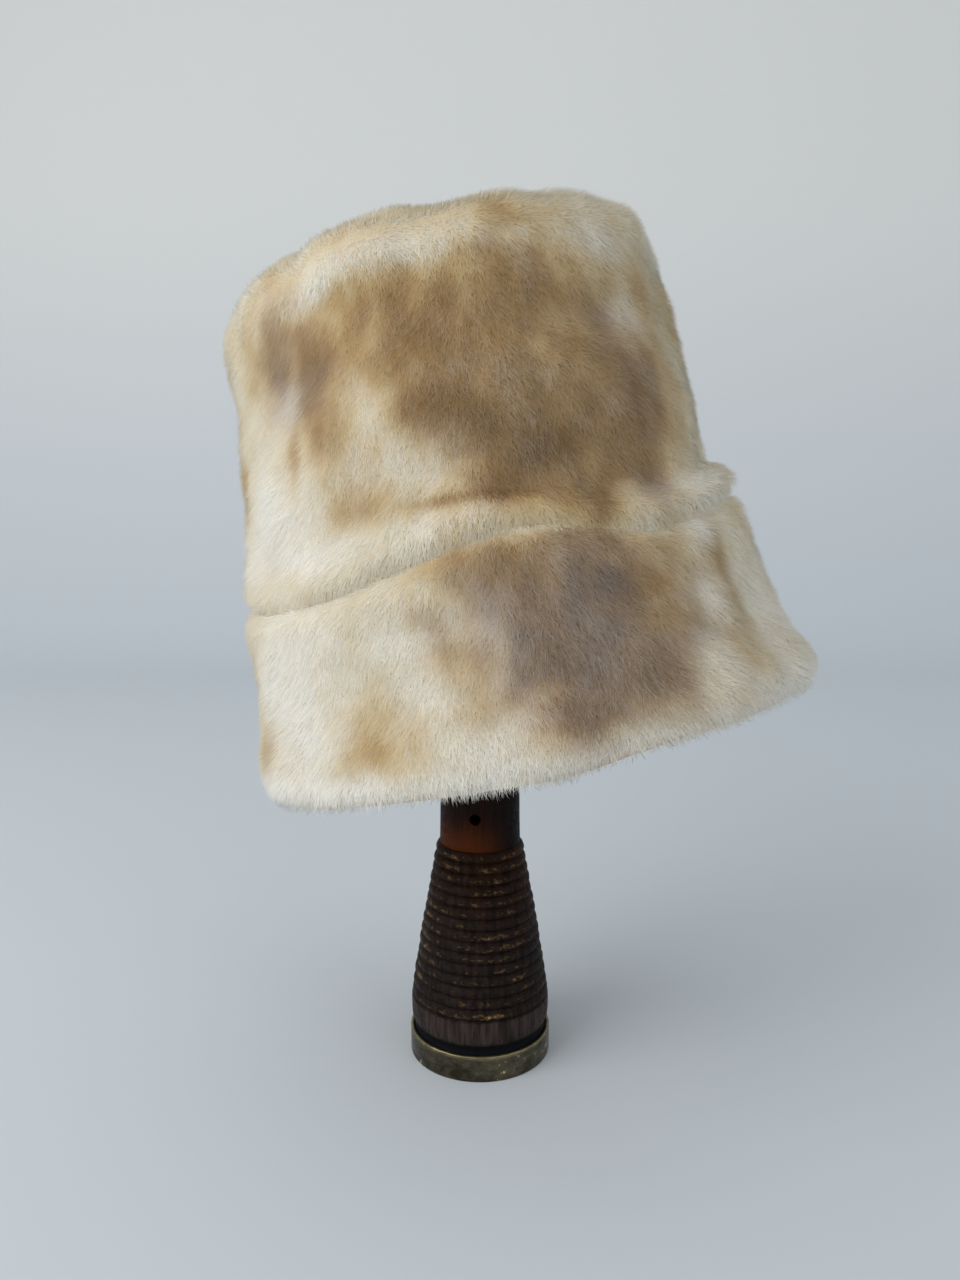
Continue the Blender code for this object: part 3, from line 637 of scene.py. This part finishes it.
def pileTree(values):
    tree, given = newTree("growPile", values)
    calc, plus, minus, times = sums(tree)
    here = addNode(tree, "GeometryNodeInputPosition").outputs[0]

    def named(name, kind="FLOAT"):
        return addNode(tree, "GeometryNodeInputNamedAttribute", {"data_type": kind}, Name=name).outputs[0]

    def randomFloat(low, high, seed):
        node = addNode(tree, "FunctionNodeRandomValue", {"data_type": "FLOAT"}, Seed=seed)
        for socket, value in zip([s for s in node.inputs if s.enabled], (low, high)):
            feed(tree, socket, value)
        return [s for s in node.outputs if s.enabled][0]

    # One strand: a three-sided spike, closed so that it is lit alike from both sides, its root at the origin
    spike = addNode(
        tree, "GeometryNodeMeshCone", {"fill_type": "NONE"},
        Vertices=3, Side_Segments=1, Radius_Top=0.0, Radius_Bottom=1.0, Depth=1.0,
    ).outputs[0]
    thick, across, along = addNode(tree, "ShaderNodeSeparateXYZ", Vector=here).outputs
    across = times(across, times(given["Strand width"], given["Half width"]))
    thick = times(thick, times(given["Strand width"], given["Thickness"]))
    reach = times(times(along, given["Tip reach"]), given["Strand length"])
    rise = times(times(along, given["Tip height"]), given["Strand length"])
    leaned = addNode(tree, "ShaderNodeCombineXYZ", X=across, Y=reach, Z=plus(rise, thick)).outputs[0]
    marked = storeNode(tree, spike, "along", along)
    strand = addNode(tree, "GeometryNodeSetPosition", Geometry=marked, Position=leaned).outputs[0]

    # Where strands stand and which way they lie
    same = addNode(
        tree, "FunctionNodeCompare", {"data_type": "FLOAT", "operation": "EQUAL"},
        i0=named("sector"), i1=given["Sector"], Epsilon=0.25,
    ).outputs[0]
    settings = {"data_type": "FLOAT", "domain": "FACE"}
    onFaces = addNode(tree, "GeometryNodeFieldOnDomain", settings, i0=named("pileShare")).outputs[0]
    places = addNode(
        tree, "GeometryNodeDistributePointsOnFaces", {"distribute_method": "RANDOM"},
        Mesh=given["Geometry"], Selection=same, Seed=given["Seed"],
        Density=times(onFaces, given["Strands per square metre"]),
    ).outputs[0]
    skinNormal = named("skinNormal", "FLOAT_VECTOR")
    normal = addNode(tree, "ShaderNodeVectorMath", {"operation": "NORMALIZE"}, i0=skinNormal).outputs[0]
    turn = times(randomFloat(-1.0, 1.0, 3), given["Turn spread"])
    for kind in ("Tuft", "Swirl"):
        sway = noiseNode(tree, here, calc("DIVIDE", 1.0, given[kind + " size"]), 1.0)
        turn = plus(turn, times(minus(sway, 0.5), times(given[kind + " turn"], 2.0)))
    combed = addNode(
        tree, "ShaderNodeVectorRotate", {"rotation_type": "AXIS_ANGLE"},
        Vector=named("comb", "FLOAT_VECTOR"), Axis=normal, Angle=calc("RADIANS", turn),
    ).outputs[0]
    settings = {"primary_axis": "Z", "secondary_axis": "Y"}
    aimed = addNode(tree, "FunctionNodeAxesToRotation", settings, i0=normal, i1=combed).outputs[0]
    nod = calc("RADIANS", times(randomFloat(-1.0, 1.0, 5), given["Lean spread"]))
    nod = addNode(tree, "ShaderNodeCombineXYZ", X=nod).outputs[0]
    nodding = addNode(tree, "FunctionNodeEulerToRotation", i0=nod).outputs[0]
    turned = addNode(tree, "FunctionNodeRotateRotation", {"rotation_space": "LOCAL"}, i0=aimed, i1=nodding)
    short = minus(1.0, given["Length spread"])
    grown = addNode(
        tree, "GeometryNodeInstanceOnPoints", Points=places, Instance=strand, Rotation=turned.outputs[0],
        Scale=times(randomFloat(short, given["Longest"], 7), named("pileLength")),
    ).outputs[0]
    return endTree(tree, storeNode(tree, grown, "tint", randomFloat(0.0, 1.0, 11), "INSTANCE"), given["Finish"])


def growPile(skinObject, tree, name, values):
    made = addObject(name, skinObject.data.copy())
    runTree(made, tree, values)
    mesh = plainMesh(made, name)
    softenShading(mesh, values["seed"])
    for layer in ("comb", "skinNormal", "pileShare", "pileLength", "sector"):
        if layer in mesh.attributes:
            mesh.attributes.remove(mesh.attributes[layer])
    print("pile", name, len(mesh.polygons), "faces")
    return made


def softenShading(mesh, seed):  # strands are lit as the skin under them is, with a little stray of their own
    count = len(mesh.vertices)
    points = readVectors(mesh.vertices, "co", count)
    under = unit(readVectors(mesh.attributes["skinNormal"].data, "vector", count))
    stray = np.random.default_rng(seed).normal(0.0, fleece["lightStray"], (count // 4, 3))
    under += np.repeat(stray, 4, axis=0)  # a strand has four corners
    corners = np.empty(len(mesh.loops), np.int32)
    mesh.loops.foreach_get("vertex_index", corners)
    sides = points[corners].reshape(-1, 3, 3)
    facing = unit(np.cross(sides[:, 1] - sides[:, 0], sides[:, 2] - sides[:, 0])).repeat(3, axis=0)
    lit = unit(under)[corners]
    met = (lit * facing).sum(1)
    lit = unit(lit + facing * np.maximum(fleece["leastFacing"] - met, 0.0)[:, None])
    writeAttribute(mesh, "underside", "FLOAT", smoothStep(*fleece["undersideBand"], met[::3]), "FACE")
    mesh.shade_smooth()
    layer = mesh.attributes.new("custom_normal", "FLOAT_VECTOR", "CORNER")
    layer.data.foreach_set("vector", lit.astype(np.float32).ravel())
    mesh.update()


def makeHat():
    strands = fleeceMaterial("shearedPile", True)
    ground = fleeceMaterial("pileGround", False)
    suede = hideMaterial()
    tree = pileTree({**pile, "sector": 0, "seed": 0, "finish": strands})
    panels = (("crown_top", "top", "crownTop"), ("crown_side", "side", "crownSide"), ("brim", "brim", "brim"))
    for place, (node, kind, name) in enumerate(panels):
        panel = makeSkin(node, kind, name + "Skin", (ground, suede))
        print("skin", name, len(panel.data.polygons), "faces")
        for sector, side in enumerate(("Left", "Front", "Right")):
            values = {**pile, "sector": sector, "seed": 10 * place + sector, "finish": strands}
            wool = growPile(panel, tree, name + "Pile" + side, values)
            wool.visible_shadow = wool.visible_diffuse = False  # in dense wool no hair darkens the next
            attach(wool, "root")
        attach(panel, "root")
        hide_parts(node)


# Stand: a turned barrel with a ribbed foot, and the brass ring that it stands in

barrel = {
    "sides": 96,
    "plugRadius": 0.0322,  # inside the brass ring
    "plugTop": 0.0128,
    "waistRadius": 0.0320,
    "waistTop": 0.0164,
    "footRadius": 0.0336,
    "footTop": 0.0292,
    "ribCount": 15,
    "rowsPerRib": 12,
    "ribPitch": 0.0051,
    "ribDepth": 0.0014,
    "ribTaper": 1.12,
    "ribsTopRadius": 0.0208,
    "neckRadius": 0.0193,
    "topRadius": 0.0165,
    "tipHeight": 0.0066,
    "height": 0.3645,
    "wear": 0.00045,  # rubbed off the crests
    "wearSize": 0.0075,
    "wobble": 0.00028,  # how far a groove strays up and down
    "holeRadius": 0.00265,
    "holeDepth": 0.012,
    "holeShift": -0.0023,
    "holeRise": 0.0155,  # above the ribs
    "sharpAngle": 48.0,
    "crestLean": 0.85,  # under one, a crest leans downwards
    "crestRoundness": 0.6,
    "rubbedOver": 0.42,  # noise over this is rubbed
    "woodRadius": 0.027,  # where the wear's noise is read
}
ribInputs = (
    "sides", "ribCount", "rowsPerRib", "ribPitch", "ribDepth", "footRadius", "ribsTopRadius", "ribTaper",
    "footTop", "wear", "wearSize", "wobble",
)
ring = {
    "sides": 96,
    "radius": 0.0342,
    "wall": 0.0017,
    "height": 0.0125,
    "lip": 0.0005,  # rounding of its upper edge
    "chamfer": 0.0003,
    "innerChamfer": 0.0002,
    "dent": 0.00012,
    "dentSize": 0.009,
    "sharpAngle": 50.0,
}
woodFinish = {
    "dark": (0.0045, 0.0030, 0.0026),
    "grainLight": (0.017, 0.0100, 0.0078),
    "warmDark": (0.006, 0.0022, 0.0010),
    "warmLight": (0.020, 0.0072, 0.0030),
    "neckDark": (0.0030, 0.0011, 0.0008),
    "neckLight": (0.018, 0.0045, 0.0014),
    # partly painted sheen, partly the varnish's own warmer colour: the warm orange low on the neck
    "sheenAndVarnish": (0.070, 0.0150, 0.0012),
    "foot": (0.044, 0.031, 0.027),
    "footDark": (0.011, 0.0075, 0.0072),
    "waist": (0.0022, 0.0030, 0.0042),
    "fleck": (0.115, 0.068, 0.027),
    "paleFleck": (0.33, 0.22, 0.085),
    "grainScale": 460.0,
    "poreScale": 1500.0,
    "chipScale": 330.0,
    "patchScale": 52.0,
    "grainBand": (0.32, 0.68),
    "fleckBand": (0.54, 0.72),
    "paleOver": 0.76,
    "shadedSide": (0.016, -0.004),  # painted shade: the neck darkens from its left towards its right, away from the light, over this span of x
    "specular": 0.07,
}
brassFinish = {
    "dark": (0.028, 0.0235, 0.014),
    "light": (0.125, 0.108, 0.072),
    "gold": (0.62, 0.50, 0.24),
    "stainScale": 75.0,
    "brushScale": 260.0,
    "speckScale": 300.0,
    "dullBand": (0.36, 0.66),
    "bareBand": (0.61, 0.65),
}


def spinProfile(name, profile, sides, closed, marks=None):  # rings of points round the stand's axis
    turns = np.linspace(0.0, 2.0 * math.pi, sides, endpoint=False)
    points, faces = [], []
    for radius, height in profile:
        points += [(radius * math.cos(a), radius * math.sin(a), height) for a in turns]
    stretches = range(len(profile)) if closed else range(len(profile) - 1)
    for i in stretches:
        low, high = i * sides, ((i + 1) % len(profile)) * sides
        faces += [(low + k, low + (k + 1) % sides, high + (k + 1) % sides, high + k) for k in range(sides)]
    mesh = bpy.data.meshes.new(name)
    mesh.from_pydata(points, [], faces)
    if marks:
        for label, values in marks.items():
            writeAttribute(mesh, label, "FLOAT", np.repeat(values, sides))
    bm = bmesh.new()
    bm.from_mesh(mesh)
    bmesh.ops.remove_doubles(bm, verts=bm.verts, dist=1e-6)
    bm.to_mesh(mesh)
    bm.free()
    return mesh


def ribTree(values):
    tree, given = newTree("turnRibs", values)
    calc, plus, minus, times = sums(tree)
    rows = plus(times(given["Rib count"], given["Rows per rib"]), 1.0)
    columns = plus(given["Sides"], 1.0)
    sheet = addNode(tree, "GeometryNodeMeshGrid", i0=1.0, i1=1.0, i2=columns, i3=rows).outputs[0]
    here = addNode(tree, "GeometryNodeInputPosition").outputs[0]
    flat = addNode(tree, "ShaderNodeSeparateXYZ", Vector=here).outputs
    angle = times(plus(flat[0], 0.5), 2.0 * math.pi)
    around = addNode(tree, "ShaderNodeCombineXYZ", X=calc("COSINE", angle), Y=calc("SINE", angle)).outputs[0]
    up = plus(flat[1], 0.5)

    def pointAt(radius, height):
        out = addNode(tree, "ShaderNodeVectorMath", {"operation": "SCALE"}, i0=around, Scale=radius).outputs[0]
        lift = addNode(tree, "ShaderNodeCombineXYZ", Z=height).outputs[0]
        return addNode(tree, "ShaderNodeVectorMath", {"operation": "ADD"}, i0=out, i1=lift).outputs[0]

    within = calc("POWER", calc("FRACT", times(up, given["Rib count"])), barrel["crestLean"])
    crest = calc("MAXIMUM", calc("SINE", times(within, math.pi)), 0.0)
    crest = calc("POWER", crest, barrel["crestRoundness"])
    span = times(times(given["Rib count"], given["Rib pitch"]), up)
    taper = calc("POWER", up, given["Rib taper"])
    body = plus(given["Foot radius"], times(minus(given["Ribs top radius"], given["Foot radius"]), taper))
    onWood = pointAt(barrel["woodRadius"], span)
    scale = calc("DIVIDE", 1.0, given["Wear size"])
    rubbed = calc("MAXIMUM", minus(noiseNode(tree, onWood, scale), barrel["rubbedOver"]), 0.0)
    rubbed = times(rubbed, times(given["Wear"], 4.0))
    stray = minus(noiseNode(tree, onWood, times(scale, 0.45), 1.0), 0.5)
    stray = times(stray, times(given["Wobble"], 2.0))
    inside = calc("MINIMUM", times(minus(0.5, calc("ABSOLUTE", flat[1])), 40.0), 1.0)  # both ends stay put
    radius = minus(body, times(given["Rib depth"], minus(1.0, crest)))
    radius = minus(radius, times(times(rubbed, crest), inside))
    height = plus(plus(given["Foot top"], span), times(stray, inside))
    marked = storeNode(tree, sheet, "crest", crest)
    shaped = addNode(tree, "GeometryNodeSetPosition", Geometry=marked, Position=pointAt(radius, height))
    joined = addNode(tree, "GeometryNodeJoinGeometry")
    for geometry in (shaped.outputs[0], given["Geometry"]):
        tree.links.new(geometry, joined.inputs[0])
    welded = addNode(tree, "GeometryNodeMergeByDistance", Geometry=joined.outputs[0], Distance=3e-5).outputs[0]
    return endTree(tree, welded, given["Finish"])


def ribsTop():
    return barrel["footTop"] + barrel["ribCount"] * barrel["ribPitch"]


def woodMaterial():
    made, tree, place = newMaterial("darkTurnedWood")
    calc, plus, minus, times = sums(tree)
    tall = stretched(tree, place, 0.10)
    across, _, height = addNode(tree, "ShaderNodeSeparateXYZ", Vector=place).outputs
    grain = noiseNode(tree, tall, woodFinish["grainScale"], 4.0, 0.62)
    pores = noiseNode(tree, tall, woodFinish["poreScale"], 3.0, 0.6)
    chips = noiseNode(tree, stretched(tree, place, 1.7), woodFinish["chipScale"], 4.0, 0.68)
    patches = noiseNode(tree, place, woodFinish["patchScale"], 3.0)

    def between(low, high):
        return smoothRange(tree, height, low, high)

    def wood(dark, light):
        return ramp(tree, grain, list(zip(woodFinish["grainBand"], (woodFinish[dark], woodFinish[light]))))

    top, foot, waist = ribsTop(), barrel["footTop"], barrel["waistTop"]
    ribs = mixColour(tree, between(0.055, 0.10), wood("dark", "grainLight"), wood("warmDark", "warmLight"))
    neck = wood("neckDark", "neckLight")
    # partly painted sheen, partly the varnish's warmer colour: warm orange in patches, strongest just above the
    # ribs and gone 19 mm higher
    sheenAndVarnishShare = times(between(top + 0.019, top + 0.001), times(plus(patches, grain), 0.8), clamp=True)
    neck = mixColour(tree, sheenAndVarnishShare, neck, woodFinish["sheenAndVarnish"])
    # painted shade: towards its right side the neck goes to its dark colour
    neck = mixColour(tree, smoothRange(tree, across, *woodFinish["shadedSide"]), woodFinish["neckDark"], neck)
    colour = mixColour(tree, between(top - 0.0006, top + 0.0002), ribs, neck)
    colour = mixColour(tree, between(foot + 0.0006, foot - 0.0012), colour, wood("footDark", "foot"))
    colour = mixColour(tree, between(waist + 0.0022, waist - 0.0006), colour, woodFinish["waist"])
    crest = attribute(tree, "crest").outputs["Fac"]
    strong = plus(plus(chips, times(minus(patches, 0.5), 0.55)), times(minus(crest, 0.9), 0.5))
    fleck = times(smoothRange(tree, strong, *woodFinish["fleckBand"]), times(crest, 0.75))
    colour = mixColour(tree, fleck, colour, woodFinish["fleck"])
    pale = calc("GREATER_THAN", times(strong, calc("GREATER_THAN", crest, 0.1)), woodFinish["paleOver"])
    colour = mixColour(tree, pale, colour, woodFinish["paleFleck"])
    relief = plus(times(pores, 0.6), plus(grain, times(chips, 0.8)))
    rough = ramp(tree, chips, [(0.3, grey(0.42)), (0.7, grey(0.66))])
    shade(
        tree, Base_Color=colour, Roughness=rough, Specular_IOR_Level=woodFinish["specular"],
        Normal=bumpNode(tree, relief, 0.5, 0.0005),
    )
    return made


def brassMaterial():
    made, tree, place = newMaterial("agedBrass")
    calc, plus, _, times = sums(tree)
    stains = noiseNode(tree, place, brassFinish["stainScale"], 5.0, 0.6)
    brushed = noiseNode(tree, stretched(tree, place, 3.0), brassFinish["brushScale"], 4.0, 0.6)
    specks = noiseNode(tree, place, brassFinish["speckScale"], 4.0, 0.65)
    mixed = plus(times(stains, 0.7), times(brushed, 0.3))
    low, high = brassFinish["dullBand"]
    dull = ramp(tree, mixed, [(low, brassFinish["dark"]), (high, brassFinish["light"])])
    bare = smoothRange(tree, plus(times(specks, 0.6), times(stains, 0.4)), *brassFinish["bareBand"])
    edge = times(attribute(tree, "edge").outputs["Fac"], times(brushed, 0.5), clamp=True)
    colour = mixColour(tree, calc("MAXIMUM", bare, edge), dull, brassFinish["gold"])
    bump = bumpNode(tree, plus(stains, times(specks, 0.3)), 0.3, 0.0004)
    rough = ramp(tree, mixed, [(low, grey(0.42)), (high, grey(0.28))])
    shade(tree, Base_Color=colour, Metallic=0.8, Roughness=rough, Specular_IOR_Level=0.3, Normal=bump)
    return made


def makeBarrel(finish):
    top, foot, plug, waist = ribsTop(), barrel["footRadius"], barrel["plugRadius"], barrel["waistRadius"]
    plugTop, waistTop, footTop = barrel["plugTop"], barrel["waistTop"], barrel["footTop"]
    low = [
        (0.0, 0.0), (plug * 0.6, 0.0), (plug, 0.0), (plug, plugTop), (waist, plugTop + 0.0004),
        (waist + 0.0001, waistTop), (foot - 0.0008, waistTop + 0.0008), (foot - 0.0003, waistTop + 0.0022),
        (foot - 0.00005, waistTop + 0.005), (foot, footTop - 0.0030), (foot - 0.0001, footTop - 0.0007),
        (foot - barrel["ribDepth"], footTop),
    ]
    ball = (barrel["topRadius"] ** 2 + barrel["tipHeight"] ** 2) / (2.0 * barrel["tipHeight"])
    edge = math.asin(barrel["topRadius"] / ball)
    neck = barrel["neckRadius"]
    high = [(barrel["ribsTopRadius"] - barrel["ribDepth"], top), (neck + 0.0001, top + 0.0003)]
    middle = barrel["height"] - ball
    start = middle + ball * math.cos(edge)
    for i in range(1, 25):
        share = i / 24
        rise = top + 0.0003 + (start - top - 0.0003) * share
        high.append((neck + (barrel["topRadius"] - neck) * share, rise))
    for i in range(1, 9):
        turn = edge * (1.0 - i / 8)
        high.append((ball * math.sin(turn), middle + ball * math.cos(turn)))
    lower = spinProfile("barrelFoot", low, barrel["sides"], False, {"crest": [0.0] * len(low)})
    made = addObject("barrel", lower)
    upper = spinProfile("barrelNeck", high, barrel["sides"], False, {"crest": [0.0] * len(high)})
    bm = bmesh.new()
    bm.from_mesh(made.data)
    bm.from_mesh(upper)
    bm.to_mesh(made.data)
    bm.free()
    values = {**{key: barrel[key] for key in ribInputs}, "finish": finish}
    runTree(made, ribTree(values), values)
    drill = bmesh.new()
    width, depth = barrel["holeRadius"], 2.0 * barrel["holeDepth"]
    bmesh.ops.create_cone(drill, cap_ends=True, segments=40, radius1=width, radius2=width, depth=depth)
    bmesh.ops.rotate(drill, verts=drill.verts, matrix=Matrix.Rotation(math.radians(90.0), 3, "X"))
    bmesh.ops.translate(drill, verts=drill.verts, vec=(barrel["holeShift"], -neck, top + barrel["holeRise"]))
    bit = bpy.data.meshes.new("drill")
    drill.to_mesh(bit)
    drill.free()
    bit.materials.append(finish)
    cutter = addObject("drill", bit)
    hole = made.modifiers.new("hole", "BOOLEAN")
    hole.operation, hole.object = "DIFFERENCE", cutter
    mesh = plainMesh(made, "barrel")
    bpy.data.objects.remove(cutter)
    mesh.materials.clear()
    mesh.materials.append(finish)
    mesh.shade_smooth()
    mesh.set_sharp_from_angle(angle=math.radians(barrel["sharpAngle"]))
    print("barrel", len(mesh.polygons), "faces")
    return made


def makeRing(finish):
    outer, inner, top, lip = ring["radius"], ring["radius"] - ring["wall"], ring["height"], ring["lip"]
    cut, innerCut = ring["chamfer"], ring["innerChamfer"]
    profile = [(outer, cut + (top - lip - cut) * i / 8) for i in range(8)] + [(outer, top - lip)]
    for a in np.radians([22.5, 45.0, 67.5, 90.0]):
        profile.append((outer - lip * (1.0 - math.cos(a)), top - lip * (1.0 - math.sin(a))))
    profile += [(inner + innerCut, top), (inner, top - innerCut), (inner, 0.0), (outer - cut, 0.0)]
    edges = [1.0 if height > top - lip * 1.6 and radius > inner + cut else 0.0 for radius, height in profile]
    made = addObject("ring", spinProfile("ring", profile, ring["sides"], True, {"edge": edges}))
    mesh = made.data
    count = len(mesh.vertices)
    points = readVectors(mesh.vertices, "co", count)
    out = points * np.array([1.0, 1.0, 0.0])
    worn = np.minimum(noiseAt(points, ring["dentSize"], 61.0, 2), 0.0) * ring["dent"] * 2.0
    high = smoothStep(0.0005, 0.003, points[:, 2]) * (np.linalg.norm(out, axis=1) > ring["radius"] - 0.0009)
    points += unit(out) * (worn * high)[:, None]
    mesh.vertices.foreach_set("co", points.astype(np.float32).ravel())
    mesh.materials.append(finish)
    bm = bmesh.new()
    bm.from_mesh(mesh)
    bmesh.ops.recalc_face_normals(bm, faces=bm.faces)
    bm.to_mesh(mesh)
    bm.free()
    mesh.shade_smooth()
    mesh.set_sharp_from_angle(angle=math.radians(ring["sharpAngle"]))
    print("ring", len(mesh.polygons), "faces")
    return made


def makeStand():
    for made, node, slot in (
        (makeBarrel(woodMaterial()), "stand_barrel", "wood"),
        (makeRing(brassMaterial()), "stand_ferrule", "brass"),
    ):
        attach(made, "root")
        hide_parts(node)


# Stage, light and camera

studio = {
    "floorColour": (0.60, 0.645, 0.68),
    "wallColour": (0.77, 0.775, 0.755),
    "floorFront": -2.5,
    "floorDepth": 1.1,
    "bend": 0.6,
    "wallHeight": 3.0,
    "width": 7.0,
    "keyPlace": (-1.35, -0.95, 0.95),
    "keySize": 1.5,
    "keyPower": 21.5,
    "keyColour": (1.0, 0.985, 0.96),
    "fillPlace": (1.5, -1.5, 0.55),
    "fillSize": 1.6,
    "fillPower": 9.0,
    "fillColour": (0.93, 0.97, 1.0),
    "sky": (0.88, 0.91, 0.95),
    "skyStrength": 0.68,
    "lampTarget": (0.0, 0.0, 0.25),
    "cameraPlace": (0.0, -0.450, 0.263),
    "cameraPitch": -7.6,
    "focalPixels": 962.0,
    "pictureHeight": 1280.0,  # in pixels
    "sensor": 36.0,
}


def makeStage():
    bend = studio["bend"]
    profile = [(studio["floorFront"], 0.0), (studio["floorDepth"], 0.0)]
    for i in range(1, 13):
        turn = math.radians(90.0 * i / 12)
        profile.append((studio["floorDepth"] + bend * math.sin(turn), bend * (1.0 - math.cos(turn))))
    profile.append((studio["floorDepth"] + bend, studio["wallHeight"]))
    half = studio["width"] / 2
    vertices = [(x, y, z) for y, z in profile for x in (-half, half)]
    faces = [(2 * i, 2 * i + 1, 2 * i + 3, 2 * i + 2) for i in range(len(profile) - 1)]
    mesh = bpy.data.meshes.new("backdrop")
    mesh.from_pydata(vertices, [], faces)
    mesh.shade_smooth()
    made, tree, place = newMaterial("paleBackdrop")
    height = addNode(tree, "ShaderNodeSeparateXYZ", Vector=place).outputs[2]
    colour = mixColour(tree, smoothRange(tree, height), studio["floorColour"], studio["wallColour"])
    shade(tree, Base_Color=colour, Roughness=0.95, Specular_IOR_Level=0.1)
    mesh.materials.append(made)
    addObject("backdrop", mesh)


def makeLight():
    for name in ("key", "fill"):
        lamp = bpy.data.lights.new(name, "AREA")
        lamp.size = studio[name + "Size"]
        lamp.energy = studio[name + "Power"]
        lamp.color = studio[name + "Colour"]
        made = bpy.data.objects.new(name, lamp)
        made.location = studio[name + "Place"]
        made.rotation_euler = (Vector(studio["lampTarget"]) - made.location).to_track_quat("-Z", "Y").to_euler()
        bpy.context.scene.collection.objects.link(made)
    world = bpy.data.worlds.new("sky")
    world.use_nodes = True
    world.node_tree.nodes["Background"].inputs[0].default_value = (*studio["sky"], 1.0)
    world.node_tree.nodes["Background"].inputs[1].default_value = studio["skyStrength"]
    bpy.context.scene.world = world
    bpy.context.scene.view_settings.view_transform = "Standard"


def makeCamera():
    lens = bpy.data.cameras.new("camera")
    lens.sensor_width = studio["sensor"]
    lens.lens = studio["focalPixels"] / studio["pictureHeight"] * studio["sensor"]
    camera = bpy.data.objects.new("camera", lens)
    camera.location = studio["cameraPlace"]
    camera.rotation_euler = (math.radians(90.0 + studio["cameraPitch"]), 0.0, 0.0)
    bpy.context.scene.collection.objects.link(camera)
    bpy.context.scene.camera = camera


makeCamera()
makeStage()
makeLight()
print("stage, light and camera ready")
makeStand()
print("stand finished")
makeHat()
print("hat finished")
